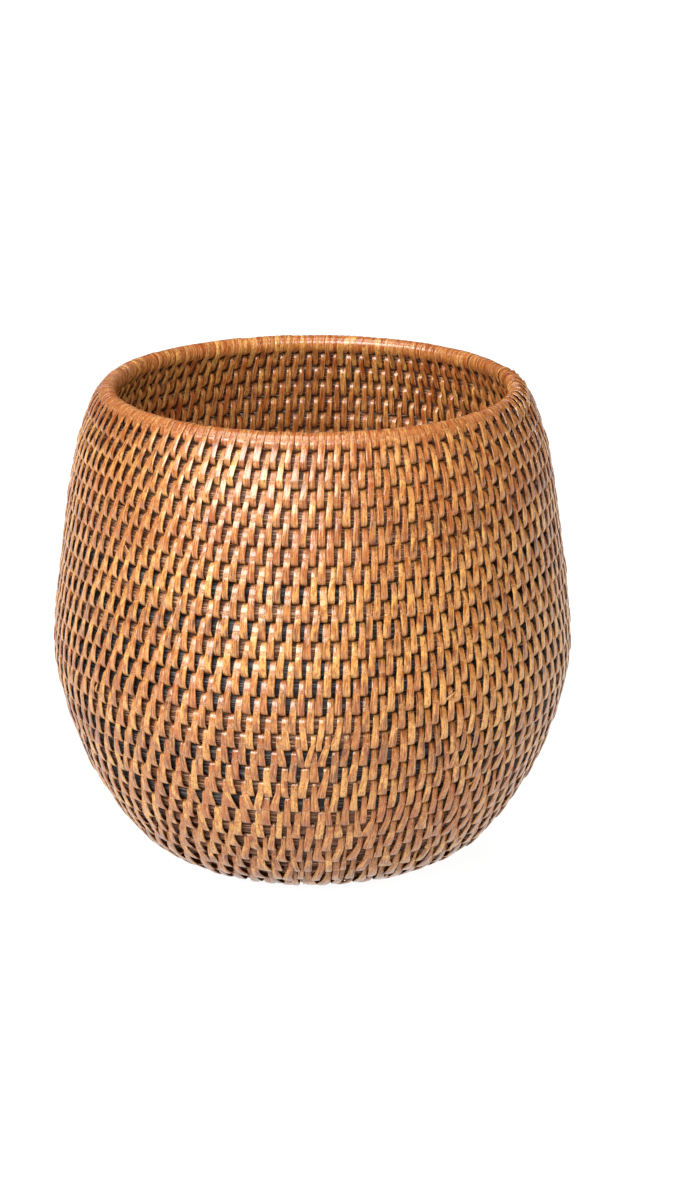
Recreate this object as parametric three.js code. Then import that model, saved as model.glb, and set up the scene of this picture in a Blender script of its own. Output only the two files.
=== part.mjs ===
// A rattan bowl planter: a coiled basket, open at the top.
//
// Rattan canes, joined end to end by slanting cuts, wind round and round as one coil: flat across
// the underside, then up the belly and in to the rim. A thin peel binds each turn to the turn
// below it, and passes through the narrow gap between the two. On the wall the canes are drawn to
// the peel's outer faces, and the single stitches are left out. The top turn is bare here, with
// its close binding of peel as a piece of its own.
//
// Millimetres, +Z up. The origin is on the floor, under the middle of the bowl. The front is -Y.

import * as THREE from "three";

// Driving sizes of the bowl. The diameters are measured outside, over the peel.
const height = 177.8;
const bellyDiameter = 190.5;
const bellyHeight = 80;
const shoulderDiameter = 180.4;
const shoulderHeight = 130;
const rimDiameter = 158.3;
const footRadius = 38; // where the flat underside starts to turn up
const shoulderLean = 7.5; // degrees that the wall leans in at the shoulder
const rimLean = 33; // degrees that the wall leans in at the rim

// How far the wall's curves run straight on from each of those places before they bend
const footPull = 34;
const underBellyPull = 20;
const overBellyPull = 14;
const underShoulderPull = 22;
const overShoulderPull = 18;
const rimPull = 14.5;

// The coil
const caneHeight = 6.1; // one cane, measured along the wall
const wallThickness = 6.5; // one cane through the wall, over the peel
const rimCaneThickness = 4.9; // the top cane through the wall, bare
const loopGap = 0.7; // between one turn and the next, where the peel passes
const startRadius = 4.5; // radius of the first tight turn
const endAzimuth = 18; // degrees from +X where the wall reaches the rim's level
const levelArc = 75; // degrees over which the last turn climbs to that level
const tipHeight = 1.2; // the least height that the pared end of the top cane is left with

// The canes
const startTurns = 5; // turns of the first cane, which starts at the centre
const scarfLength = 14; // length of the slanting cut that joins two canes
const seatGap = 0.3; // between pieces that touch

// The binding of peel round the rim
const peelThickness = 0.55;
const bindingReach = 2.9; // how far its two edges come down below the rim cane's middle

// Facets
const stepsPerTurn = 20;
const mostOfFacet = 0.7; // a slanting cut takes no more than this share of its facets
const bindingFacets = 6;

// The wall's canes from the foot up: the share of the wall's turns that each one makes, and its
// shade. Dark canes lie between brown ones above and below the belly.
const brown = 0x7a4a2a;
const dark = 0x2b211c;
const wallCanes = [
  { turns: 2.2, shade: brown },
  { turns: 2.3, shade: brown },
  { turns: 2.1, shade: brown },
  { turns: 2.0, shade: brown },
  { turns: 0.9, shade: dark },
  { turns: 1.0, shade: brown },
  { turns: 1.9, shade: dark },
  { turns: 1.1, shade: brown },
  { turns: 1.5, shade: dark },
  { turns: 1.5, shade: dark },
  { turns: 1.0, shade: brown },
  { turns: 1.1, shade: dark },
  { turns: 0.9, shade: brown },
  { turns: 1.0, shade: dark },
  { turns: 2.1, shade: brown },
  { turns: 1.9, shade: brown },
  { turns: 2.0, shade: brown },
];

const radians = THREE.MathUtils.degToRad;
const { clamp, lerp, smoothstep } = THREE.MathUtils;

// The upward direction of the wall in the half plane [radius, height], for a wall that leans in,
// and the direction out of the wall there.
function upWall(degrees) {
  return new THREE.Vector2(-Math.sin(radians(degrees)), Math.cos(radians(degrees)));
}

function outOf(upward) {
  return new THREE.Vector2(upward.y, -upward.x);
}

// A cane's six edges, as places through and along the wall from -1 to 1. It has flats outside and
// inside, up to its shoulders, and ridges that face the turns above and below.
const shoulderPlace = 0.5;
const caneEdges = [
  [1, -shoulderPlace],
  [1, shoulderPlace],
  [0, 1],
  [-1, shoulderPlace],
  [-1, -shoulderPlace],
  [0, -1],
];
const caneShoulder = (shoulderPlace * caneHeight) / 2;

// The section of the rim's binding, from its inner edge over the top to its outer edge: points
// outward and upward from the middle of the rim cane. Half an ellipse stands on straight sides,
// which reach up to the cane's shoulders. Room is the gap between the cane and the section.
function bindingArch(room) {
  const halfWidth = rimCaneThickness / 2 + room;
  const rise = caneHeight / 2 - caneShoulder + room;
  const points = [[-halfWidth, -bindingReach]];
  for (let i = 0; i <= bindingFacets; i++) {
    const angle = Math.PI * (1 - i / bindingFacets);
    points.push([halfWidth * Math.cos(angle), caneShoulder + rise * Math.sin(angle)]);
  }
  points.push([halfWidth, -bindingReach]);
  return points;
}

const bindingInside = bindingArch(seatGap);
const bindingOutside = bindingArch(seatGap + peelThickness);

// The cane line: the path that the middles of the canes follow in the half plane, from the centre
// of the underside to the rim. Half a cane stands outside it. At the rim the binding does, and
// its outer side and its top come out at the rim's diameter and height.
const restHeight = wallThickness / 2; // the canes of the underside lie flat on the floor
const rimUp = upWall(rimLean);
const rimOut = outOf(rimUp);

function bindingSpan(axis) {
  return Math.max(...bindingOutside.map(([n, t]) => n * rimOut[axis] + t * rimUp[axis]));
}

const foot = new THREE.Vector2(footRadius, restHeight);
const belly = new THREE.Vector2((bellyDiameter - wallThickness) / 2, bellyHeight);
const shoulder = new THREE.Vector2(shoulderDiameter / 2, shoulderHeight);
shoulder.addScaledVector(outOf(upWall(shoulderLean)), -wallThickness / 2);
const rim = new THREE.Vector2(rimDiameter / 2 - bindingSpan("x"), height - bindingSpan("y"));

function bend(start, startUp, startPull, end, endUp, endPull) {
  const leave = start.clone().addScaledVector(startUp, startPull);
  const arrive = end.clone().addScaledVector(endUp, -endPull);
  return new THREE.CubicBezierCurve(start, leave, arrive, end);
}

const flat = upWall(-90);
const caneLine = new THREE.CurvePath();
caneLine.add(new THREE.LineCurve(new THREE.Vector2(startRadius, restHeight), foot));
caneLine.add(bend(foot, flat, footPull, belly, upWall(0), underBellyPull));
caneLine.add(
  bend(belly, upWall(0), overBellyPull, shoulder, upWall(shoulderLean), underShoulderPull),
);
caneLine.add(bend(shoulder, upWall(shoulderLean), overShoulderPull, rim, rimUp, rimPull));
const lineLength = caneLine.getLength();

// The coil: how far along the cane line its middle lies, as a function of the turns left to go
// before its end. The underside is an even spiral. Further up, more and more of each turn's climb
// is gathered into one short stretch, so that the top turn ends up level.
const turns = Math.round(lineLength / (caneHeight + loopGap)) + 1;
const pitch = lineLength / (turns - 1);

function alongLine(left) {
  if (left <= 1) return lineLength;
  const whole = Math.floor(left);
  const evenDrop = left - 1;
  const gatheredDrop = whole - 1 + smoothstep(left - whole, 0, levelArc / 360);
  return lineLength - pitch * lerp(gatheredDrop, evenDrop, (left - 1) / (turns - 1));
}

// The top turn is pared down from below where the turn under it climbs to its level.
function rimCaneHeight(left) {
  return lineLength - alongLine(left + 1) - (pitch - caneHeight);
}

// A cross section of the coil: its middle, the upward and outward directions of the wall there,
// and half its height and thickness. It is slim where its shoulders lie between the binding's
// sides, and its pared end narrows as it thins.
function sectionAt(left) {
  const along = alongLine(left);
  const high = left < 1 ? rimCaneHeight(left) : caneHeight;
  const slimZone = bindingReach + caneShoulder + seatGap;
  const fullness = clamp((lineLength - along - slimZone) / (pitch - slimZone), 0, 1);
  const narrowing = Math.sqrt(high / caneHeight);
  const upward = caneLine.getTangent(along / lineLength).normalize();
  const middle = caneLine.getPoint(along / lineLength);
  middle.addScaledVector(upward, (caneHeight - high) / 2);
  return {
    middle,
    upward,
    outward: outOf(upward),
    halfHeight: high / 2,
    halfThickness: lerp(rimCaneThickness, wallThickness, fullness) * narrowing / 2,
  };
}

function azimuthAt(left) {
  return radians(endAzimuth) - 2 * Math.PI * left;
}

// A point of the half plane, turned to an azimuth, and kept above the floor.
function turnTo(place, azimuth) {
  return new THREE.Vector3(
    place.x * Math.cos(azimuth),
    place.x * Math.sin(azimuth),
    Math.max(place.y, 0),
  );
}

// A point of the coil's surface: n and t are its places through and along the wall, from -1 to 1.
function surfacePoint(left, n, t) {
  const { middle, upward, outward, halfHeight, halfThickness } = sectionAt(left);
  middle.addScaledVector(outward, n * halfThickness).addScaledVector(upward, t * halfHeight);
  return turnTo(middle, azimuthAt(left));
}

// A point on the flat facets of the coil. Every turn has its sections at the same azimuths as its
// neighbours, so that the gap between their facets stays even.
function facetPoint(left, n, t) {
  const steps = left * stepsPerTurn;
  const below = Math.floor(steps) / stepsPerTurn;
  const above = (Math.floor(steps) + 1) / stepsPerTurn;
  return surfacePoint(below, n, t).lerp(surfacePoint(above, n, t), steps - Math.floor(steps));
}

// Joins rings of points into a closed solid, with a flat face at each end of the row of rings. A
// row that closes on itself has no end faces.
function skin(rings, closed = false) {
  const count = rings[0].length;
  const index = [];
  const spans = closed ? rings.length : rings.length - 1;
  for (let i = 0; i < spans; i++) {
    const here = i * count;
    const next = ((i + 1) % rings.length) * count;
    for (let j = 0; j < count; j++) {
      const k = (j + 1) % count;
      index.push(here + j, next + j, next + k);
      index.push(here + j, next + k, here + k);
    }
  }
  if (!closed) {
    const last = (rings.length - 1) * count;
    for (let j = 1; j < count - 1; j++) {
      index.push(0, j, j + 1);
      index.push(last, last + j + 1, last + j);
    }
  }
  const positions = rings.flat().flatMap((point) => point.toArray());
  const geometry = new THREE.BufferGeometry();
  geometry.setAttribute("position", new THREE.Float32BufferAttribute(positions, 3));
  geometry.setIndex(index);
  geometry.computeVertexNormals();
  return geometry;
}

function squareRing(left) {
  return caneEdges.map(([n, t]) => surfacePoint(left, n, t));
}

// Where two canes meet: in the middle of the facets nearest to a wanted place.
function jointNear(left) {
  return (Math.round(left * stepsPerTurn - 0.5) + 0.5) / stepsPerTurn;
}

// The end of a cane that is cut on a slant to meet the next one. The slant stays within its
// facets, and side, -1 or 1, says which way the end is held back by half of the joint's gap.
function slantingEnd(joint, side) {
  const wayRound = 2 * Math.PI * sectionAt(joint).middle.x;
  const cut = Math.min(scarfLength, (mostOfFacet * wayRound) / stepsPerTurn);
  const gapAlong = (seatGap * Math.hypot(cut, wallThickness)) / wallThickness;
  return caneEdges.map(([n, t]) => {
    const along = (side * gapAlong - n * cut) / 2;
    return facetPoint(joint + along / wayRound, n, t);
  });
}

// The rings of a cane between its two ends.
function between(from, to) {
  const rings = [];
  for (let i = Math.ceil(from * stepsPerTurn) - 1; i > to * stepsPerTurn; i--) {
    rings.push(squareRing(i / stepsPerTurn));
  }
  return rings;
}

function namedMesh(name, geometry, color, roughness) {
  const material = new THREE.MeshStandardMaterial({ color, roughness, metalness: 0 });
  const mesh = new THREE.Mesh(geometry, material);
  mesh.name = name;
  return mesh;
}

// The canes of the coil, from the centre of the underside to the pared tip at the rim.
function buildCanes() {
  const caneRoughness = 0.55;
  const group = new THREE.Group();
  const wallStart = jointNear(turns - startTurns);
  const wallEnd = jointNear(1);
  const startRings = [squareRing(turns), ...between(turns, wallStart), slantingEnd(wallStart, 1)];
  group.add(namedMesh("start_cane", skin(startRings), brown, caneRoughness));

  const shares = wallCanes.reduce((sum, cane) => sum + cane.turns, 0);
  let from = wallStart;
  let done = 0;
  wallCanes.forEach((cane, i) => {
    done += cane.turns;
    const to = jointNear(lerp(wallStart, wallEnd, done / shares));
    const rings = [slantingEnd(from, -1), ...between(from, to), slantingEnd(to, 1)];
    const name = `wall_cane_${String(i + 1).padStart(2, "0")}`;
    group.add(namedMesh(name, skin(rings), cane.shade, caneRoughness));
    from = to;
  });

  let steps = 0;
  while (rimCaneHeight(steps / stepsPerTurn) < tipHeight) steps++;
  const tip = steps / stepsPerTurn;
  const rimRings = [slantingEnd(wallEnd, -1), ...between(wallEnd, tip), squareRing(tip)];
  group.add(namedMesh("rim_cane", skin(rimRings), brown, caneRoughness));
  return group;
}

// The close binding of peel over the rim: a thin ring with the section of an arch, open below
// where it passes between the rim cane and the turn under it.
function buildBinding() {
  const section = [...bindingOutside].reverse().concat(bindingInside);
  const rings = [];
  for (let i = 0; i < stepsPerTurn; i++) {
    const places = section.map(([n, t]) => {
      return rim.clone().addScaledVector(rimOut, n).addScaledVector(rimUp, t);
    });
    rings.push(places.map((place) => turnTo(place, azimuthAt(-i / stepsPerTurn))));
  }
  return namedMesh("rim_binding", skin(rings, true), 0xb87a3c, 0.4);
}

// The least gap between each turn and the next, measured on points of their facets: the edges of
// each section, and the middles between them.
function outlinePoints(left) {
  return caneEdges.flatMap(([n, t], i) => {
    const edge = facetPoint(left, n, t);
    const next = facetPoint(left, ...caneEdges[(i + 1) % caneEdges.length]);
    return [edge, edge.clone().lerp(next, 0.5)];
  });
}

function leastGap() {
  const samples = 4 * stepsPerTurn;
  let least = Infinity;
  for (let i = 0; i < (turns - 1) * samples; i++) {
    const left = i / samples;
    if (left < 1 && rimCaneHeight(left) < tipHeight) continue;
    const below = outlinePoints(left + 1);
    for (const point of outlinePoints(left)) {
      least = Math.min(least, ...below.map((other) => point.distanceTo(other)));
    }
  }
  return least;
}

console.log(`${turns} turns at ${pitch.toFixed(2)} mm, least gap ${leastGap().toFixed(2)} mm`);

const planter = new THREE.Group();
planter.add(buildCanes(), buildBinding());

export default planter;
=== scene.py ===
# %% [markdown]
# # A rattan bowl planter, stitch by stitch
# The bowl is a coiled basket: one long cane winds from the middle of the underside to the rim,
# and a thin strip of rattan peel binds each turn to the turn below it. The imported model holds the
# canes as plain six-sided solids. This lesson gives each of them its round cane and its stitches.
# The bowl could be painted with a weave picture or a bump, but the outline and the deep little
# gaps between the stitches would be missing, so every stitch is real geometry here.

import math

import bpy
import numpy as np
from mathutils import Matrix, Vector


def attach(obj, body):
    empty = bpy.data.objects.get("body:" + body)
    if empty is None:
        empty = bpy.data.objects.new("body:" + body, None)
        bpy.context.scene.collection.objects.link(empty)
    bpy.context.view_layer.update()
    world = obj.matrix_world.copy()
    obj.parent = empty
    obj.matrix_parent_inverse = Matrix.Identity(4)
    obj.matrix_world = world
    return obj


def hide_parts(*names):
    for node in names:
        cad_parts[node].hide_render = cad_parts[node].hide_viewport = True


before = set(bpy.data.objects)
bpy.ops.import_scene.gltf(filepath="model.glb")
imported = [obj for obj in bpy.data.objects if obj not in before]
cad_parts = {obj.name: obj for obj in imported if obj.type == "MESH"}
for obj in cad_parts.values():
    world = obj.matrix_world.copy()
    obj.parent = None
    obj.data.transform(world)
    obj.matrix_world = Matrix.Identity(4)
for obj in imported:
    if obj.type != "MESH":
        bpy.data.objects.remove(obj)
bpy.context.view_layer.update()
print("CAD pieces:", len(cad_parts))

# %% [markdown]
# ## The line of the wall
# A coiled basket is a surface of revolution, so one line in the half plane of radius and height
# describes its whole wall. It is built from the same sizes as the solids: a straight underside and
# three Bezier curves through foot, belly, shoulder and rim. It is kept as many short steps with
# their lengths, because a cane's place is then just a distance along the line.

# %% Sizes of the bowl, in metres
MM = 0.001
HEIGHT = 177.8 * MM
BELLY_DIAMETER = 190.5 * MM
BELLY_HEIGHT = 80 * MM
SHOULDER_DIAMETER = 180.4 * MM
SHOULDER_HEIGHT = 130 * MM
SHOULDER_LEAN = 7.5  # degrees
RIM_DIAMETER = 158.3 * MM
RIM_LEAN = 33  # degrees
FOOT_RADIUS = 38 * MM
START_RADIUS = 4.5 * MM  # of the hole
CANE_HEIGHT = 6.1 * MM  # along the wall
WALL_THICKNESS = 6.5 * MM  # over the peel
RIM_CANE_THICKNESS = 4.9 * MM
LOOP_GAP = 0.7 * MM  # between turns, where the peel passes
PEEL = 0.55 * MM  # thickness of the peel
SEAT_GAP = 0.3 * MM
BINDING_REACH = 2.9 * MM  # how far the rim's binding comes down beside the rim cane's middle
print(f"{HEIGHT / MM:.1f} mm high, {BELLY_DIAMETER / MM:.1f} mm across the belly")


# %% Draw the line
UNDERSIDE_POINTS, CURVE_POINTS = 60, 400
HANDLES = ((34, 20), (14, 22), (18, 14.5))  # mm, the reach of each curve's two Bezier handles
ARCH_POINTS = 7  # corners of the arch that the rim's binding has in the solids


def up_wall(lean):
    """Upward along a wall that leans in by so many degrees, as radius and height."""
    return np.array([-math.sin(math.radians(lean)), math.cos(math.radians(lean))])


def out_of(up):
    """The way out of the wall, square to the way up it."""
    return np.stack([up[..., 1], -up[..., 0]], axis=-1)


def bend(start, start_up, end, end_up, start_handle, end_handle):
    """A Bezier curve between two places, with the wall's direction at both."""
    t = np.linspace(0, 1, CURVE_POINTS)[:, None]
    leave = start + start_up * start_handle * MM
    arrive = end - end_up * end_handle * MM
    middle = 3 * t * (1 - t) * (leave * (1 - t) + arrive * t)
    return (1 - t) ** 3 * start + middle + t**3 * end


def rim_middle():
    """Where the rim cane's middle lies, so that its binding comes out at the rim's size."""
    up, out = up_wall(RIM_LEAN), out_of(up_wall(RIM_LEAN))
    arch = np.radians(np.linspace(0, 180, ARCH_POINTS))
    room = SEAT_GAP + PEEL
    across = np.append((RIM_CANE_THICKNESS / 2 + room) * np.cos(arch), RIM_CANE_THICKNESS / 2 + room)
    rise = np.append(CANE_HEIGHT / 4 + (CANE_HEIGHT / 4 + room) * np.sin(arch), -BINDING_REACH)
    reach = across[:, None] * out + rise[:, None] * up
    return np.array([RIM_DIAMETER / 2, HEIGHT]) - reach.max(axis=0)


def wall_line():
    """Every point of the line, from the hole in the middle to the rim."""
    flat, plumb = up_wall(-90), up_wall(0)
    leaning, rim_up = up_wall(SHOULDER_LEAN), up_wall(RIM_LEAN)
    centre = np.array([START_RADIUS, WALL_THICKNESS / 2])
    foot = np.array([FOOT_RADIUS, WALL_THICKNESS / 2])
    belly = np.array([(BELLY_DIAMETER - WALL_THICKNESS) / 2, BELLY_HEIGHT])
    shoulder = np.array([SHOULDER_DIAMETER / 2, SHOULDER_HEIGHT])
    shoulder = shoulder - out_of(leaning) * WALL_THICKNESS / 2
    straight = np.linspace(centre, foot, UNDERSIDE_POINTS)
    knots = [(foot, flat), (belly, plumb), (shoulder, leaning), (rim_middle(), rim_up)]
    curves = [bend(*knots[i], *knots[i + 1], *HANDLES[i]) for i in range(len(HANDLES))]
    return np.vstack([straight] + [curve[1:] for curve in curves])


LINE = wall_line()
LINE_STEPS = np.linalg.norm(np.diff(LINE, axis=0), axis=1)
LINE_ALONG = np.concatenate([[0], np.cumsum(LINE_STEPS)])
LINE_UP = np.gradient(LINE, LINE_ALONG, axis=0)
LINE_LENGTH = LINE_ALONG[-1]


def on_line(along):
    """Place and upward direction at distances along the line, straight on past its ends."""
    inside = np.clip(along, 0, LINE_LENGTH)
    place = np.stack([np.interp(inside, LINE_ALONG, LINE[:, i]) for i in (0, 1)], axis=-1)
    up = np.stack([np.interp(inside, LINE_ALONG, LINE_UP[:, i]) for i in (0, 1)], axis=-1)
    up = up / np.linalg.norm(up, axis=-1, keepdims=True)
    return place + (along - inside)[..., None] * up, up


print(f"the wall's line is {LINE_LENGTH / MM:.1f} mm long")

# %% [markdown]
# ## The coil
# The cane climbs the line by one pitch in each turn. Low down it climbs evenly, like a spiral. In
# the last turns more and more of the climb is gathered into one short stretch, so that the rim
# ends level. Every place on the coil is given by the turns that are left to go before its end.

# %% Wind the coil
END_ANGLE = math.radians(18)  # from +X, where the wall reaches the rim's level
LEVEL_ARC = 75 / 360  # of a turn, over which the last turn climbs
TIP_HEIGHT = 1.2 * MM  # of the rim cane's pared end
TURNS = round(LINE_LENGTH / (CANE_HEIGHT + LOOP_GAP)) + 1
PITCH = LINE_LENGTH / (TURNS - 1)


def along_line(left):
    """How far along the line the coil's middle lies, with so many turns left to go."""
    whole = np.floor(left)
    ease = np.clip((left - whole) / LEVEL_ARC, 0, 1)
    gathered = whole - 1 + ease * ease * (3 - 2 * ease)
    evenness = (left - 1) / (TURNS - 1)
    drop = gathered + (left - 1 - gathered) * evenness
    return np.where(left <= 1, LINE_LENGTH, LINE_LENGTH - PITCH * drop)


def cane_high(left):
    """The cane's height along the wall: full, but for the rim cane's pared end."""
    pared = LINE_LENGTH - along_line(left + 1) - (PITCH - CANE_HEIGHT)
    return np.where(left < 1, np.clip(pared, TIP_HEIGHT, CANE_HEIGHT), CANE_HEIGHT)


def on_bowl(along, out, angle):
    """A point of space: a distance along the wall's line and out of it, turned to an angle."""
    place, up = on_line(along)
    place = place + out[..., None] * out_of(up)
    radius, height = place[..., 0], place[..., 1]
    return np.stack([radius * np.cos(angle), radius * np.sin(angle), height], axis=-1)


def radius_at(left):
    """How far from the bowl's axis the coil's outer face lies."""
    place, up = on_line(along_line(np.asarray(left, float)))
    return place[..., 0] + WALL_THICKNESS / 2 * out_of(up)[..., 0]


print(f"{TURNS} turns, {PITCH / MM:.2f} mm apart")

# %% [markdown]
# ## Meshes
# Canes and stitches are both tubes: rings of points, joined by four-sided faces. A loop of the
# binding closes on itself, and a cane has a flat face at each end. Two values travel with every
# point for the materials: its place in the straight, unbent strip, so that the fibres follow each
# bend, and the shade of its strip, with painted shade where the peel lies in a gap or on an edge.


# %% Helpers for tubes
SHARP = math.radians(36)  # an edge that bends more than this looks crisp


def tube_faces(rings, sides, closed):
    """The faces between rings of points. A closed tube joins its last ring to its first."""
    spans = rings if closed else rings - 1
    i, j = np.meshgrid(np.arange(spans), np.arange(sides), indexing="ij")
    here, ahead = i * sides, (i + 1) % rings * sides
    beside = (j + 1) % sides
    faces = np.stack([here + j, here + beside, ahead + beside, ahead + j], axis=-1)
    return faces.reshape(-1, 4)


def capped_tube(rings, sides, first=0):
    """The faces of a tube with flat ends, whose points are counted from first."""
    last = first + (rings - 1) * sides
    ends = [[first + i for i in range(sides)], [last + i for i in reversed(range(sides))]]
    return (tube_faces(rings, sides, False)[:, ::-1] + first).tolist() + ends


def add_attribute(mesh, name, values):
    attribute = mesh.attributes.new(name, "FLOAT_VECTOR", "POINT")
    attribute.data.foreach_set("vector", values.astype(np.float32).ravel())


def make_piece(name, points, faces, grain, shade, material):
    """A mesh object whose points know their place in the strip, and the strip's shade with its
    painted shade.
    """
    mesh = bpy.data.meshes.new(name)
    mesh.from_pydata(points.reshape(-1, 3).tolist(), [], faces)
    add_attribute(mesh, "grain", grain.reshape(-1, 3))
    add_attribute(mesh, "shade", shade.reshape(-1, 3))
    mesh.shade_smooth()
    mesh.set_sharp_from_angle(angle=SHARP)
    mesh.materials.append(material)
    piece = bpy.data.objects.new(name, mesh)
    bpy.context.collection.objects.link(piece)
    return piece


# %% [markdown]
# ## Materials
# Rattan shows two finishes here: glossy peel, and the duller cane inside it. A picture of the weave
# would need a flat layout, so both are mixed from noise that is stretched along the fibres. Each
# helper adds one node and hands on the socket that the next one reads.


# %% Helpers for materials
def add_node(tree, kind, inputs=None, **settings):
    """A node with its settings. An input is a number or colour, or the socket that feeds it."""
    node = tree.nodes.new(kind)
    for key, value in settings.items():
        setattr(node, key, value)
    for key, value in (inputs or {}).items():
        if isinstance(value, bpy.types.NodeSocket):
            tree.links.new(value, node.inputs[key])
        else:
            node.inputs[key].default_value = value
    return node


def new_material(name):
    material = bpy.data.materials.new(name)
    material.use_nodes = True
    tree = material.node_tree
    tree.nodes.clear()
    return material, tree


def stretched_noise(tree, grain, scale, detail=2.0):
    """Noise in the straight strip's own space, with one scale along and two across, per metre."""
    vector = add_node(tree, "ShaderNodeVectorMath", {0: grain, 1: scale}, operation="MULTIPLY")
    noise = add_node(
        tree, "ShaderNodeTexNoise", {"Vector": vector.outputs[0], "Scale": 1.0, "Detail": detail}
    )
    return noise.outputs["Fac"]


def remap(tree, value, low, high, to_low=0.0, to_high=1.0):
    node = add_node(tree, "ShaderNodeMapRange", {
        "Value": value, "From Min": low, "From Max": high, "To Min": to_low, "To Max": to_high,
    })
    return node.outputs["Result"]


def mix(tree, share, first, second):
    node = tree.nodes.new("ShaderNodeMix")
    node.data_type = "RGBA"
    for key, value in (("Factor", share), ("A", first), ("B", second)):
        socket = next(s for s in node.inputs if s.name == key and s.enabled)
        if isinstance(value, bpy.types.NodeSocket):
            tree.links.new(value, socket)
        else:
            socket.default_value = value
    return next(s for s in node.outputs if s.enabled)


def finish(tree, settings):
    """The surface's shader with its settings, joined to the material's output."""
    shader = add_node(tree, "ShaderNodeBsdfPrincipled", settings)
    add_node(tree, "ShaderNodeOutputMaterial", {"Surface": shader.outputs[0]})


# %% [markdown]
# ### The cane's finish
# Between the stitches the cane shows, brown in most turns and near black in some, dull, with pale
# streaks along it. A wood picture would not follow the bends, so one noise makes the streaks and
# their low ridges, and a slower one makes parts of the cane darker.

# %% The cane's material
CANE_STREAKS = (70, 2600, 2600)  # scales per metre: along, and both ways across
CANE_CLOUDS = (60, 300, 300)
BLACK = (0.0, 0.0, 0.0, 1)


def cane_material(name, base, streak, coat):
    material, tree = new_material(name)
    grain = add_node(tree, "ShaderNodeAttribute", attribute_name="grain").outputs["Vector"]
    fibres = stretched_noise(tree, grain, CANE_STREAKS, 3.0)
    clouds = stretched_noise(tree, grain, CANE_CLOUDS)
    pale = remap(tree, fibres, 0.51, 0.6)
    colour = mix(tree, pale, base, streak)
    colour = mix(tree, remap(tree, clouds, 0.35, 0.65, to_low=0.45), BLACK, colour)
    bump = add_node(tree, "ShaderNodeBump", {
        "Height": fibres, "Strength": 0.6, "Distance": 0.12 * MM,
    })
    finish(tree, {
        "Base Color": colour, "Roughness": 0.5, "Normal": bump.outputs[0],
        "Coat Weight": coat, "Coat Roughness": 0.3, "Specular IOR Level": 0.15,
    })
    return material


CANE_BROWN = cane_material("brown cane", (0.1, 0.034, 0.014, 1), (0.42, 0.23, 0.14, 1), 0.0)
CANE_DARK = cane_material("dark cane", (0.014, 0.008, 0.006, 1), (0.12, 0.105, 0.1, 1), 0.03)
print("materials:", CANE_BROWN.name, "and", CANE_DARK.name)

# %% [markdown]
# ### The peel's finish
# Rattan peel is the glossy outer bark, split into strips: honey to reddish brown, with fine fibres
# and small dark pores, under a thin coat of lacquer. Each strip could have a material of its own,
# but every point carries the shade of its strip, so one serves all. Painted shade darkens the gaps
# between turns and the strips' edges, and takes the lacquer off there.

# %% The peel's material
PEEL_TONES = [  # from straw through honey and amber to chestnut
    (0.52, 0.28, 0.083, 1), (0.36, 0.143, 0.03, 1), (0.235, 0.07, 0.016, 1), (0.09, 0.024, 0.008, 1),
]
PEEL_RED = (0.26, 0.056, 0.011, 1)
PEEL_PALE = (0.7, 0.45, 0.18, 1)
PEEL_PORES = (0.05, 0.016, 0.006, 1)
# painted shade, for the gaps between turns and the strips' edges
PEEL_PAINTED_SHADE = (0.04, 0.011, 0.004, 1)
TONE_PLACES = (0.33, 0.66)  # where the two middle tones lie between the outer ones
PATCHINESS = 0.48  # how far patches shift a tone
FIBRE_NOISE = (110, 1900, 900)  # scales per metre: along, across, and from stitch to stitch
PATCH_NOISE = (240, 520, 900)
BLOTCH_NOISE = (700, 1700, 900)
PORE_NOISE = (900, 3000, 900)


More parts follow.
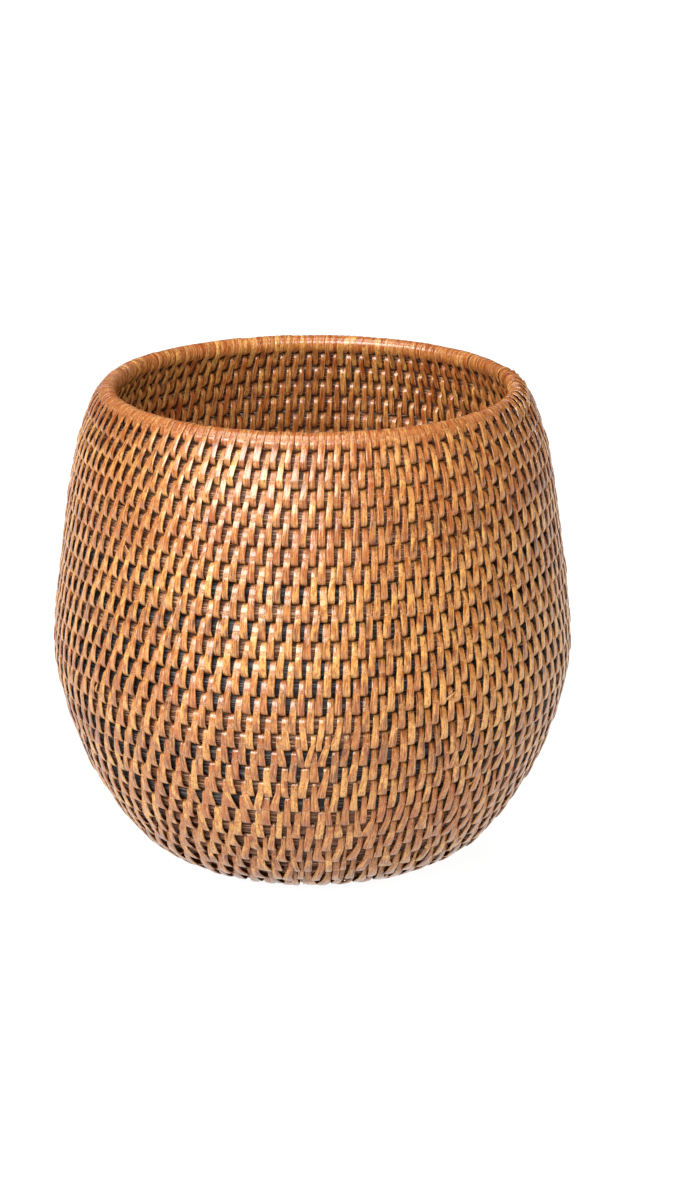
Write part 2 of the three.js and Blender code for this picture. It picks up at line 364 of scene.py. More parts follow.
def peel_material():
    material, tree = new_material("lacquered peel")
    grain = add_node(tree, "ShaderNodeAttribute", attribute_name="grain").outputs["Vector"]
    shade = add_node(tree, "ShaderNodeAttribute", attribute_name="shade").outputs["Vector"]
    tone = add_node(tree, "ShaderNodeSeparateXYZ", {"Vector": shade}).outputs
    fibres = stretched_noise(tree, grain, FIBRE_NOISE, 3.0)
    patches = stretched_noise(tree, grain, PATCH_NOISE, 3.0)
    blotches = stretched_noise(tree, grain, BLOTCH_NOISE, 3.0)
    pores = stretched_noise(tree, grain, PORE_NOISE, 1.0)
    mottled = add_node(tree, "ShaderNodeMath", {
        0: remap(tree, patches, 0.36, 0.64, -PATCHINESS, PATCHINESS), 1: tone["X"],
    }, operation="ADD").outputs[0]
    ramp = add_node(tree, "ShaderNodeValToRGB", {"Fac": mottled})
    stops = ramp.color_ramp.elements
    for place, colour in zip(TONE_PLACES, PEEL_TONES[1:-1]):
        stops.new(place).color = colour
    stops[0].color, stops[-1].color = PEEL_TONES[0], PEEL_TONES[-1]
    redder = mix(tree, remap(tree, tone["Y"], 0.35, 1.0, to_high=0.8), ramp.outputs[0], PEEL_RED)
    streaky = mix(tree, remap(tree, fibres, 0.45, 0.66, to_high=0.5), redder, PEEL_PALE)
    spotted = mix(tree, remap(tree, blotches, 0.5, 0.66, to_high=0.6), streaky, PEEL_RED)
    pitted = mix(tree, remap(tree, pores, 0.61, 0.7, to_high=0.85), spotted, PEEL_PORES)
    # painted shade in the gaps and on the strips' edges, where the lacquer is also left off
    colour = mix(tree, tone["Z"], pitted, PEEL_PAINTED_SHADE)
    lacquer = remap(tree, tone["Z"], 0.0, 0.7, 1.0, 0.05)
    bump = add_node(tree, "ShaderNodeBump", {
        "Height": fibres, "Strength": 0.6, "Distance": 0.1 * MM,
    })
    dents = add_node(tree, "ShaderNodeBump", {
        "Height": blotches, "Strength": 0.75, "Distance": 0.2 * MM, "Normal": bump.outputs[0],
    })
    finish(tree, {
        "Base Color": colour, "Roughness": remap(tree, blotches, 0.3, 0.7, 0.35, 0.6),
        "Normal": dents.outputs[0], "Specular IOR Level": 0.2,
        "Specular Tint": (1.0, 0.82, 0.66, 1), "Coat Weight": lacquer, "Coat Roughness": 0.18,
        "Coat IOR": 1.56, "Coat Tint": (1.0, 0.93, 0.83, 1), "Coat Normal": dents.outputs[0],
    })
    return material


PEEL_FINISH = peel_material()
print("material:", PEEL_FINISH.name)

# %% [markdown]
# ## The canes
# Each cane is a long oval tube, bent round the bowl. Where one ends, its end and the start of the
# next are cut on the same slant and lie against each other. A curve object with a bevel could make
# the tube too, but its points would not know how far they lie along the wall, which the rim cane's
# pared end needs. The solids reach out to the faces of the peel, so the canes here are thinner,
# most of all on the wall, where the stitches stand off them. A low ridge above and below closes
# the gap to the next turn, so that no light shines through.

# %% The canes' sizes and shades
START_TURNS = 5
CAD_STEPS = 20  # facets of the solids in each turn: canes end in the middle of one
SCARF = 14 * MM  # length of a slanting cut
SCARF_SHARE = 0.7  # of a facet, which is the most that the cut takes
SCARF_EASE = 1.5  # lengths of the cut, over which its slant fades out
LEAST_LEFT = 0.001  # turns, so that no point slants past the coil's end
CORE_THICK = WALL_THICKNESS / 2 - PEEL - 0.67 * MM  # half its depth: the stitches stand off it
RIM_CORE_THICK = WALL_THICKNESS / 2 - PEEL - 0.02 * MM
CORE_THICK_AT = (  # turns left, and half the depth
    (0.8, 1.2, 24, 26), (RIM_CORE_THICK, CORE_THICK, CORE_THICK, RIM_CORE_THICK),
)
CORE_HIGH = CANE_HEIGHT / 2 - 0.03 * MM
RIM_CROWN = 0.3 * MM  # how much the top cane stands higher, under its close binding
KEEL_GAP = 0.03 * MM  # a low ridge closes the gap to the next turn, but for this
KEEL_SHARPNESS = 9  # the higher, the narrower the ridge
CANE_SIDES = 16
CANE_STEPS = 96  # rings in each turn
WALL_TURNS = (  # how far round the wall canes reach, about
    2.2, 2.3, 2.1, 2.0, 0.9, 1.0, 1.9, 1.1, 1.5, 1.5, 1.0, 1.1, 0.9, 1.0, 2.1, 1.9, 2.0,
)
DARK_CANES = (5, 7, 9, 10, 12, 14)  # the numbers of the near-black ones


def joint_near(left):
    """The middle of a facet, as near as it comes to a place on the coil."""
    return (math.floor(left * CAD_STEPS) + 0.5) / CAD_STEPS


def cane_ends():
    """Name, material and both ends of every cane, in turns left, from the centre to the rim."""
    wall_start, wall_end = joint_near(TURNS - START_TURNS), joint_near(1)
    shares = np.cumsum(WALL_TURNS)
    joints = [joint_near(wall_start + (wall_end - wall_start) * s / shares[-1]) for s in shares]
    rows = [("start_cane", CANE_BROWN, float(TURNS), wall_start)]
    for number, (begin, end) in enumerate(zip([wall_start] + joints, joints), 1):
        material = CANE_DARK if number in DARK_CANES else CANE_BROWN
        rows.append((f"wall_cane_{number:02d}", material, begin, end))
    last_half_turn = np.linspace(0, 0.5, 501)
    tip = last_half_turn[np.argmax(cane_high(last_half_turn) > TIP_HEIGHT)]
    rows.append(("rim_cane", CANE_BROWN, wall_end, float(tip)))
    return rows


CANES = cane_ends()
print(len(CANES), "canes,", len(WALL_TURNS), "of them in the wall")

# %% Bend each cane
def core_thick(left):
    """Half the cane's depth: full at the rim and under the foot, where the binding lies close."""
    return np.interp(left, *CORE_THICK_AT)


def ridge(left, upper):
    """Height of the ridge above or below the cane: turns part a little where they climb."""
    above = np.where(left < 2, PITCH, along_line(left - 1) - along_line(left))
    below = np.where(left < 1, PITCH, along_line(left) - along_line(left + 1))
    return np.where(upper, above * (left >= 1), below) / 2 - (CORE_HIGH + KEEL_GAP)


def cane_points(begin, end):
    """The rings of one cane, and each point's place in the straight cane."""
    steps = math.ceil((begin - end) * CANE_STEPS)
    left = np.linspace(begin, end, steps + 1)[:, None]
    around = np.linspace(0, 2 * math.pi, CANE_SIDES, endpoint=False)[None, :]
    lap = 2 * math.pi * radius_at(left)
    cut = np.minimum(SCARF, SCARF_SHARE * lap / CAD_STEPS)
    from_end = np.minimum(begin - left, left - end) * lap
    slant = np.clip(1 - from_end / (SCARF_EASE * cut), 0, 1) * cut / 2
    slant = slant * np.where(begin < TURNS, 1, left < begin - 1)  # square at the coil's start
    slanting = np.clip(left - np.cos(around) * slant / lap, LEAST_LEFT, TURNS)
    high = cane_high(left)
    crown = np.where(left < 1, RIM_CROWN / 2, 0)
    keel = ridge(slanting, np.sin(around) > 0).clip(0) * np.sin(around) ** KEEL_SHARPNESS
    rise = (CORE_HIGH * high / CANE_HEIGHT + crown) * np.sin(around) + keel
    out = core_thick(left) * np.sqrt(high / CANE_HEIGHT) * np.cos(around)
    middle = along_line(slanting) + (CANE_HEIGHT - high) / 2 + crown
    points = on_bowl(middle + rise, out, END_ANGLE - 2 * math.pi * slanting)
    straight = np.broadcast_to((TURNS - slanting) * lap, rise.shape)
    return points, np.stack([straight, out, rise], axis=-1)


def bend_cane(name, material, begin, end):
    """One cane as a piece, in the place of its solid."""
    points, grain = cane_points(begin, end)
    faces = capped_tube(len(points), CANE_SIDES)
    piece = make_piece(name + "_core", points, faces, grain, np.zeros_like(points), material)
    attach(piece, "root")
    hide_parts(name)
    return piece


bent = [bend_cane(*row) for row in CANES]
print(sum(len(piece.data.polygons) for piece in bent), "faces in", len(bent), "bent canes")

# %% [markdown]
# ## Where the stitches go
# A basket maker works up the coil. Each new stitch goes over the new turn and the one below, and
# comes out just beside the stitch that is already there. As the bowl widens, the steps between
# stitches widen too, so now and then an extra one is pushed in, and its neighbours spread to make
# room. The same habit is followed here, one stitch after another, with a little unevenness.

# %% The binding's habits
SPACING = 6.4 * MM  # the widest that stitches stand apart above the belly
LOOSE_SPACING = 6.95 * MM  # and in the lower rows
LOOSE_ROWS = (14, 20)  # turns left, between which the one passes into the other
FIRST_ROUND = 6  # stitches round the centre hole
TOP_SHARE = 0.36  # of the spacing, taken by a stitch's upper half
BOTTOM_SHARE = 0.38  # and by its lower half
SNUG = 0.05 * MM  # between stitches side by side
LEAN = ((3, 12, 18, 24), (0.7, 0.4, 0.4, 0.6))  # turns left, and mm from a foot on to its top
MOST_LEAN = (-1.0 * MM, 2.3 * MM)  # how far it may be pushed back or on
EVENING_ROUNDS, GIVE_WAY = 18, 0.4  # how often neighbours give way, and how far
EXTRA_FROM = 0.5  # of a stitch owed, at which an extra one is pushed in
UNEVEN_WIDTH = 0.08  # of a stitch's width, by chance
UNEVEN_LEAN = 0.1  # mm
UNEVEN_PLACE = 0.2 * MM
ROUGH_TOP, ROUGH_FOOT = 0.08, 0.04  # of its width, which rough work takes off a top or a foot
ROUGH_FROM, ROUGH_OVER = 0.52, 0.27  # of the line: where it starts, and over how much
MOST_WILD = 2.6  # how much rougher the lowest rows are worked than the highest
RNG = np.random.default_rng(7)
JITTER = RNG.normal(0, 1, (4000, 4)).clip(-2, 2)


def wildness(left):
    """How unevenly the maker worked: neat above the belly, rougher towards the foot."""
    below = ROUGH_FROM * LINE_LENGTH - float(along_line(left))
    return 1 + MOST_WILD * min(max(below / (ROUGH_OVER * LINE_LENGTH), 0), 1)


def lap_at(left):
    """Once round the bowl, over the stitches."""
    return 2 * math.pi * float(radius_at(left))


print(f"once round: {lap_at(TURNS / 2) / MM:.0f} mm half way up, {lap_at(1) / MM:.0f} mm at the rim")


# %% Lay one stitch after another
class Binding:
    """All stitches in the order of work: top and foot as turns done, and the width of both."""

    def __init__(self):
        self.tops = [(i + 0.5) / FIRST_ROUND for i in range(FIRST_ROUND)]
        self.feet = list(self.tops)
        self.wide_feet = [BOTTOM_SHARE * PITCH] * FIRST_ROUND
        self.owed = 0.0

    def wide_top(self, i):
        """Width of a stitch's top, from the room between its neighbours."""
        near = self.tops[max(i - 1, 0):i + 2]
        spacing = (near[-1] - near[0]) / (len(near) - 1) * lap_at(TURNS - self.tops[i])
        wild = wildness(TURNS - self.tops[i])
        uneven = 1 + UNEVEN_WIDTH * JITTER[i, 0] * wild
        return spacing * TOP_SHARE * uneven * (1 + ROUGH_TOP - ROUGH_TOP * wild)

    def add_beside(self, parent):
        """One stitch next to the one below it, or two where the bowl has widened enough."""
        left = TURNS - self.tops[parent] - 1
        below = lap_at(left + 1)
        step = self.tops[parent + 1] - self.tops[parent]
        apart = float(np.interp(left, LOOSE_ROWS, (SPACING, LOOSE_SPACING)))
        self.owed = max(self.owed + step * lap_at(left) / apart - 1, -1)
        children = 2 if self.owed > EXTRA_FROM else 1
        self.owed -= children - 1
        beside = self.wide_top(parent) / 2
        room = step * below - beside - self.wide_top(parent + 1) / 2 - (children + 1) * SNUG
        edge = self.tops[parent] + 1 + (beside + SNUG) / below
        for _ in range(children):
            wild = wildness(left)
            chance = JITTER[len(self.tops)] * wild
            usual = BOTTOM_SHARE * (1 + ROUGH_FOOT - ROUGH_FOOT * wild) * step * below
            wide = min(usual * (1 + UNEVEN_WIDTH * abs(chance[1])), room / children)
            foot = edge + wide / 2 / below
            edge = foot + (wide / 2 + SNUG) / below
            self.feet.append(foot)
            self.wide_feet.append(wide)
            lean = (float(np.interp(left, *LEAN)) + UNEVEN_LEAN * chance[2]) * MM
            self.tops.append(foot + lean / lap_at(left))

    def even_out(self, first):
        """Neighbours give way to each other, as far as they can lean."""
        tops, feet = np.array(self.tops[first - 1:]), np.array(self.feet[first:])
        laps = np.array([lap_at(TURNS - top) for top in tops[1:]])
        for _ in range(EVENING_ROUNDS):
            middle = (tops[:-2] + tops[2:]) / 2
            tops[1:-1] += GIVE_WAY * (middle - tops[1:-1])
            tops[1:] = np.clip(tops[1:], feet + MOST_LEAN[0] / laps, feet + MOST_LEAN[1] / laps)
        uneven = UNEVEN_PLACE * wildness(TURNS - self.tops[first])
        self.tops[first:] = list(tops[1:] + uneven * JITTER[first:len(self.tops), 3] / laps)

    def work_up(self):
        """Every stitch from the centre to the rim."""
        parent = 0
        while self.tops[parent] + 1 < TURNS:
            first = len(self.tops)
            while parent < first - 1 and self.tops[parent] + 1 < TURNS:
                self.add_beside(parent)
                parent += 1
            self.even_out(first)
        wide_tops = [self.wide_top(i) for i in range(len(self.tops) - 1)]
        wide_tops.append(wide_tops[-1])
        return [np.array(row) for row in (self.tops, self.feet, wide_tops, self.wide_feet)]


TOPS, FEET, WIDE_TOPS, WIDE_FEET = Binding().work_up()
print(len(TOPS), "stitches")

# %% [markdown]
# ## The shape of a stitch
# Seen along the cane, a stitch is a belt round two pulleys: over the upper cane, down the inside,
# under the lower cane and up the outside. Peel is squeezed thin and narrow where it passes between
# two turns, and lies broad and slightly crowned where it shows. It is also stiff, so it rounds the
# lower cane in a wide bow and its foot stands proud, which gives every stitch its glint and its
# shadow. So a stitch is a closed tube with a flat lens for its section, and its width, its
# thickness and its distance from the cane follow the belt.

# %% The way round the belt
OVER = [0, 18, 36, 54, 72, 90, 108, 130, 155, 180]  # degrees round the upper cane, from outside
UNDER = [180, 205, 230, 252, 270, 288, 304, 318, 332, 346, 360]  # round the lower cane
DOWN = [0.67, 0.33]  # the straight run inside, as shares of the way up
UP = [0.25, 0.5, 0.75]  # and the run outside
RUN = 60  # each straight run counts as so many degrees of the way round
UNDER_RING = UNDER[1:-1]  # a short wrap goes round one cane, with no straight runs
BELT = (  # angle, share of the way up to the upper cane, and degrees of the way round
    np.radians(OVER + [180] * len(DOWN) + UNDER + [360] * len(UP)),
    np.array([1.0] * len(OVER) + DOWN + [0.0] * len(UNDER) + UP),
    np.array(
        OVER + [180 + RUN * (1 - s) for s in DOWN] + [a + RUN for a in UNDER]
        + [360 + RUN * (1 + s) for s in UP]
    ),
)
RING = (
    np.radians(OVER + UNDER_RING),
    np.ones(len(OVER + UNDER_RING)),
    np.array(OVER + [a + RUN for a in UNDER_RING]),
)
print(len(BELT[0]), "places round a stitch,", len(RING[0]), "round a short wrap")

# %% What changes on the way
SECTION = np.array([  # across, in half widths, and out, in thicknesses
    (-1, 0.35), (-0.93, 0.8), (-0.55, 0.96), (0, 1), (0.55, 0.96), (0.93, 0.8), (1, 0.35),
    (0.88, 0), (-0.88, 0),
])
# Way round: 0 outside on the upper cane, 90 over it, 180 to 240 down the inside, 330 under the
# lower cane, 420 to 480 up the outside.
WIDTH_AT = (
    [0, 40, 62, 90, 120, 150, 180, 240, 290, 330, 350, 364, 385, 420],
    [1, 0.98, 0.88, 0.5, 0.88, 0.98, 1, 0.94, 0.8, 0.6, 0.85, 0.98, 1.02, 1],
)
THICK_AT = (
    [0, 40, 90, 120, 150, 180, 240, 290, 330, 350, 370, 420],
    [1, 0.9, 0.5, 1.0, 1.6, 1.4, 0.95, 0.75, 0.5, 0.8, 1, 1],
)
SHIFT_AT = (  # share of the inside lean, which is undone in the gap under the lower cane
    [0, 45, 90, 135, 180, 240, 285, 310, 330, 350, 362],
    [0, 0.06, 0.18, 0.28, 0.36, 0.82, 1.0, 0.8, 0.4, 0.08, 0],
)
FLARE_AT = ([345, 362, 385, 435], [0, 1, 0.75, 0])  # share of the spread of a foot
LIFT_AT = (  # mm off the cane: stiff peel rounds the lower cane in a wide bow, like a feather
    [0, 18, 40, 90, 135, 165, 200, 240, 285, 330, 375, 400, 420, 450, 465, 480],
    [0.1, -0.08, 0, 0, 0.3, 0.45, 0.3, 0.4, 0.2, 0, 0.55, 0.8, 0.84, 0.74, 0.5, 0.1],
)
FLAT_ROWS = ([27, 28.5], [1, 0])  # turns left, towards the underside, where no stitch stands off
# painted shade on the strip's edges and on its inner face
EDGE_PAINTED_SHADE = np.array([0.25, 0, 0, 0, 0, 0, 0.25, 1, 1])  # for each point of the section
INSIDE_LEAN = 0.32  # of the spacing, how far a stitch moves on inside
FOLD = 0.8  # below 1, a stitch folds at its lower end rather than bends
FLARE_TURN = 0.45  # how much a spread foot turns as well
FULL_THICK = 0.95  # of the peel, over the rim, where it isn't squeezed
STAND_OFF = 0.02 * MM  # between cane and peel
LEAST_RADIUS = 1.1 * MM  # for widths round the hole in the middle
print(f"peel is {min(THICK_AT[1]) * PEEL / MM:.2f} to {max(THICK_AT[1]) * PEEL / MM:.2f} mm thick")


# %% Points of the stitches
def belt_points(stitch, angle, share, way):
    """Points of many belts or rings at once: stitches, then places round the belt, then section."""
    column = {key: value[:, None, None] for key, value in stitch.items()}
    angle, share, way = angle[None, :, None], share[None, :, None], way[None, :, None]
    across, out_share = SECTION[None, None, :, 0], SECTION[None, None, :, 1]
    full = column["full_top"] & (angle <= math.pi)
    flare = column["flare"] * np.interp(way, *FLARE_AT)
    wide_here = np.interp(way, *WIDTH_AT)
    wide_here = wide_here + full * (1 - wide_here) + flare
    thick_here = np.interp(way, *THICK_AT)
    thick_here = PEEL * (thick_here + full * (FULL_THICK - thick_here))
    width = column["wide_foot"] + (column["wide_top"] - column["wide_foot"]) * share
    left = TURNS - (column["foot"] + (column["top"] - column["foot"]) * share)
    place, up = on_line(along_line(left) * share + along_line(left + 1) * (1 - share))
    core = core_thick(left) * share + core_thick(left + 1) * (1 - share)
    radius = place[..., 0] + core * np.cos(angle) * out_of(up)[..., 0]
    lap = 2 * math.pi * np.maximum(radius, LEAST_RADIUS)
    sideways = width * wide_here * across / 2
    shift = sideways + column["lean_in"] * np.interp(way, *SHIFT_AT) + width * flare / 2
    left = left - shift / lap
    high = np.where(column["over_tip"], CANE_HEIGHT, cane_high(left))
    crown = np.where((left < 1) | column["over_tip"], RIM_CROWN / 2, 0)
    upper = np.where(column["over_tip"], LINE_LENGTH, along_line(left)) + (CANE_HEIGHT - high) / 2
    single = column["single"]
    lower = np.where(single, upper, along_line(left + 1))
    fold = np.where(angle > 1.5 * math.pi, column["fold"], 1)
    level = np.sign(np.cos(angle)) * np.abs(np.cos(angle)) ** fold
    rises = np.sign(np.sin(angle)) * np.abs(np.sin(angle)) ** fold
    half_high = np.where((rises > 0) | single, high / 2 + crown, CANE_HEIGHT / 2)
    thick = thick_here * out_share * (1 + column["proud"])
    upper = upper + crown
    lift = np.interp(way, *LIFT_AT) * MM * ~single * column["loose"] * ~full
    slim = np.where(single | (share == 1), np.sqrt(high / CANE_HEIGHT), 1)
    out = ((core + STAND_OFF) * slim + thick + lift) * level
    along = lower + (upper - lower) * share + (half_high + thick) * rises
    along = along - FLARE_TURN * flare * sideways
    points = on_bowl(along, out, END_ANGLE - 2 * math.pi * left)
    points[..., 2] = np.maximum(points[..., 2], 0)
    return points, sideways


def belt_lengths(angle, share):
    """The distance round the belt at each of its places, for the fibres."""
    path = np.stack([
        share * PITCH + CANE_HEIGHT / 2 * np.sin(angle), WALL_THICKNESS / 2 * np.cos(angle)
    ])
    return np.concatenate([[0], np.cumsum(np.linalg.norm(np.diff(path, axis=1), axis=0))])


# %% [markdown]
# ## Winding the binding
# Every stitch could be an object of its own, but thousands of objects are slow to handle. So the
# stitches of one cane are kept together as one piece, which rides on the same body and stands for
# the same solid as its cane. A strip of peel lasts for some stitches, and they share its shade.

# %% Shades of the stitches
SLOW = RNG.normal(0, 1, (800, 2))  # one pair of values for each strip of peel
OWN = RNG.normal(0, 1, (6000, 2))  # and one for each stitch
STRIP = 30  # stitches from one strip
TONE, STRIP_TONE, OWN_TONE = 0.38, 0.17, 0.15  # usual tone, and how far strip and stitch shift it
NEXT_STITCH = 0.37  # how far apart neighbours lie in the noise
FOOT_RED_AND_SHADE = ([330, 400, 440, 480], [0.3, 0.26, 0.1, 0])  # a stitch is redder and darker towards its foot: partly the peel's own orange, partly painted shade on its lower end
WORN_TOP = ([40, 80, 115, 150], [0, 1, 1, 0])  # way round, where hands have darkened the rim
WORN = 0.3  # how much they darken it
SQUEEZED, SQUEEZED_OVER = 0.8, 0.2  # sine of the angle where the painted shade of a gap starts, and its rise


def strip_shades(count, first):
    """Tone and redness, from the strip and from the stitch itself."""
    order = np.arange(first, first + count)
    slow = SLOW[order // STRIP % len(SLOW)]
    return TONE + STRIP_TONE * slow + OWN_TONE * OWN[order % len(OWN)]


def belt_shades(stitch, angle, way, seed, shape):
    """Tone, redness and painted shade for every point of the stitches."""
    tones = strip_shades(shape[0], seed) + stitch["darker"][:, None]
    tones = np.broadcast_to(tones[:, None, None, :], shape + (2,)).copy()
    # redder towards the foot: partly the peel's own colour, partly painted shade
    tones[..., 1] += np.interp(way, *FOOT_RED_AND_SHADE)[None, :, None]
    worn = WORN * stitch["full_top"] * JITTER[:shape[0], 2].clip(0)
    tones += (worn[:, None] * np.interp(way, *WORN_TOP))[..., None, None]
    # Painted shade: darker where the peel passes into a gap between turns, and on its edges and inner
    # face.
    hidden = np.clip(np.abs(np.sin(angle)) - SQUEEZED, 0, SQUEEZED_OVER) / SQUEEZED_OVER
    covered = (~stitch["full_top"])[:, None] | (angle > math.pi)[None, :]
    painted_shade = np.maximum((hidden[None, :] * covered)[:, :, None], EDGE_PAINTED_SHADE)
    return np.concatenate([tones.clip(0, 1), painted_shade[..., None]], axis=-1)


def belt_grain(across, lengths, seed):
    """The place of every point in its straight strip."""
    along = np.broadcast_to(lengths[None, :, None], across.shape)
    order = (seed + np.arange(len(across)))[:, None, None] * NEXT_STITCH
    return np.stack([along, across, np.broadcast_to(order, across.shape)], axis=-1)


# %% Stitches of one piece
FLARE_NEAT, FLARE_ROUGH = 0.06, 0.6  # spread of a foot, and what rough work adds
FLARE_USUAL, FLARE_MOST = 0.3, 1.7  # about which chance varies it, and the most
FOLD_ROUGH = 0.3  # how much more sharply rough work folds a foot
PROUD_ROUGH, PROUD_CHANCE = 0.2, 0.14  # how much thicker peel is in rough work, and by chance
LOOSE_ROUGH, LOOSE_CHANCE = 0.5, 0.15  # how much further off its cane it stands
DARK_ROUGH = 0.08  # how much darker the lower rows are, towards the foot
FEWEST = 8  # stitches to a lap near the middle, for their inside lean


def pick(chosen, full_top=False, over_tip=False, single=False, proud=0.0):
    """The stitches with these numbers, as columns for belt_points."""
    count = len(chosen)
    left = TURNS - TOPS[chosen]
    lap = 2 * math.pi * radius_at(left)
    chance = JITTER[chosen % len(JITTER)]
    rough = (np.array([wildness(value) for value in left]) - 1) / MOST_WILD
    spread = np.clip(chance[:, 1] + FLARE_USUAL, 0, FLARE_MOST)
    off_cane = 1 + LOOSE_ROUGH * rough + LOOSE_CHANCE * chance[:, 0]
    return {
        "top": TOPS[chosen], "wide_top": WIDE_TOPS[chosen],
        "foot": FEET[chosen], "wide_foot": WIDE_FEET[chosen],
        "lean_in": INSIDE_LEAN * np.minimum(SPACING, lap / FEWEST),
        "flare": (FLARE_NEAT + FLARE_ROUGH * rough) * spread,
        "fold": FOLD - FOLD_ROUGH * rough,
        "full_top": np.full(count, full_top), "over_tip": np.full(count, over_tip),
        "single": np.full(count, single),
        "proud": proud + PROUD_ROUGH * rough + (PROUD_CHANCE + PROUD_CHANCE * rough) * chance[:, 3],
        "darker": DARK_ROUGH * rough,
        "loose": off_cane * np.interp(left, *FLAT_ROWS),
    }


def wind(name, node, groups):
    """One piece from groups of stitches, each with its belt or ring and its first number."""
    points, faces, grain, shade, first = [], [], [], [], 0
    for stitch, (angle, share, way), seed in groups:
        block, across = belt_points(stitch, angle, share, way)
        count, stitch_points = len(block), len(angle) * len(SECTION)
        starts = first + np.arange(count)[:, None, None] * stitch_points
        faces.append((tube_faces(len(angle), len(SECTION), True)[None] + starts).reshape(-1, 4))
        first += count * stitch_points
        grain.append(belt_grain(across, belt_lengths(angle, share), seed).reshape(-1, 3))
        shade.append(belt_shades(stitch, angle, way, seed, across.shape).reshape(-1, 3))
        points.append(block.reshape(-1, 3))
    piece = make_piece(
        name, np.vstack(points), np.vstack(faces).tolist(), np.vstack(grain), np.vstack(shade),
        PEEL_FINISH,
    )
    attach(piece, "root")
    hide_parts(node)
    return piece


# %% Bind every cane
LEFT = TURNS - TOPS
TIP_ZONE = 0.11  # turns over which the pared tip is thinner than half a cane


def among(low, high):
    """The numbers of the stitches with so many turns left."""
    return np.flatnonzero((LEFT >= low) & (LEFT < high))


def groups_on(name, begin, end):
    """The stitches of one cane. The first round goes over the start cane alone."""
    if name == "start_cane":
        ring, rest = among(TURNS - 1, TURNS + 1), among(end, TURNS - 1)
        return [(pick(ring, single=True), RING, 0), (pick(rest), BELT, len(ring))]
    chosen = among(max(end, 1 + TIP_ZONE), begin)
    return [(pick(chosen), BELT, int(chosen[0]))]


for name, _, begin, end in CANES[:-1]:
    wind(name.replace("cane", "peel"), name, groups_on(name, begin, end))
print(len(CANES) - 1, "canes are bound")

# %% [markdown]
# ## The rim's wraps
# At the rim a long wrap goes over two turns, as on the wall, and the next one over the top cane
# alone. One ring round the rim would be quicker, but it would lack the little steps between wraps
# that catch the light. Both kinds keep their full width over the top, so the cane is covered.

# %% Bind the rim
LONG_SHARE = 0.45  # of the spacing at the rim: a short wrap takes the rest
UNEVEN_WRAP = 0.07  # of a long wrap's width, by chance
LONG_PROUD = 0.05  # how much thicker the long wraps are
RIM_PAINTED_SHADE = 0.06  # painted shade: the rim's peel is a little darker, to tone down the light on its upward face
SPLICE = (math.radians(125), math.radians(2.2))  # where the rim's dark splice lies, and its reach
SPLICE_DARKER = 0.6
RIM_SEEDS = (5000, 5100, 5200, 5230)  # where the wraps' shades and grain begin


def rim_wraps():
    """Long and short wraps round the rim, and the same two where they cover the pared tip."""
    chosen = among(TIP_ZONE, 1)
    after = np.append(TOPS[chosen[1:]], 2 * TOPS[chosen[-1]] - TOPS[chosen[-2]])
    lap = lap_at(0.5)
    spacing = (after - TOPS[chosen]) * lap
    long = pick(chosen, full_top=True, proud=LONG_PROUD)
    long["wide_top"] = LONG_SHARE * spacing * (1 + UNEVEN_WRAP * JITTER[chosen, 2])
    short = pick(chosen, full_top=True, single=True)
    beside = np.append(long["wide_top"][1:], long["wide_top"][-1])
    short["wide_top"] = spacing - (long["wide_top"] + beside) / 2 - SNUG
    short["top"] = (TOPS[chosen] + after) / 2 + (long["wide_top"] - beside) / 4 / lap
    short["foot"] = short["top"]
    tip_long = pick(among(1, 1 + TIP_ZONE), full_top=True, over_tip=True, proud=LONG_PROUD)
    tip_short = pick(among(0, TIP_ZONE), full_top=True, over_tip=True)
    wraps = (long, short, tip_long, tip_short)
    for stitch in wraps:
        stitch["flare"] = np.zeros_like(stitch["flare"])
        here = (END_ANGLE - 2 * math.pi * (TURNS - stitch["top"])) % (2 * math.pi)
        spliced = np.abs(here - SPLICE[0]) < SPLICE[1]
        # painted shade over the rim's peel, and the real dark splice
        stitch["darker"] = RIM_PAINTED_SHADE + stitch["darker"] + SPLICE_DARKER * spliced
    print(sum(len(stitch["top"]) for stitch in wraps), "wraps round the rim")
    return wind("rim_wraps", "rim_binding", zip(wraps, (BELT, RING, BELT, BELT), RIM_SEEDS))


rim_wraps()

# %% [markdown]
# ## Loose ends
# Handwork is never quite clean. A new strip of peel begins where the last one ended, and the tails
# of both stay in the weave as short slanting bits. Thin fibres split off them and stand up a
# little. Particle hair would do for the fibres, but a few dozen pointed tubes are simpler, stay
# where they are put and are exported with the rest.

# %% One loose end
FIBRE_RINGS, FIBRE_SIDES = 9, 6
TAPER = 0.8  # of its width, which a bit loses towards its tip
ROOT_DEPTH = 0.8 * MM  # how far a loose end starts below the wall's face


def loose_end(angle, left, heading, long, stand, wide, thick):
    """Points of one bit, which leaves the wall at a heading from straight up, and its grain."""
    t = np.linspace(0, 1, FIBRE_RINGS)[:, None]
    around = np.linspace(0, 2 * math.pi, FIBRE_SIDES, endpoint=False)[None, :]
    taper = 1 - TAPER * t**2
    across = wide / 2 * taper * np.cos(around)
    out = WALL_THICKNESS / 2 - ROOT_DEPTH * (1 - t) ** 2 + stand * t**1.5
    out = out + thick / 2 * taper * np.sin(around)
    along = along_line(left) + long * t * math.cos(heading) - across * math.sin(heading)
    beside = long * t * math.sin(heading) + across * math.cos(heading)
    points = on_bowl(along, out, math.radians(angle) + beside / radius_at(left))
    return points, np.stack([long * t + 0 * across, across, 0 * across], axis=-1)


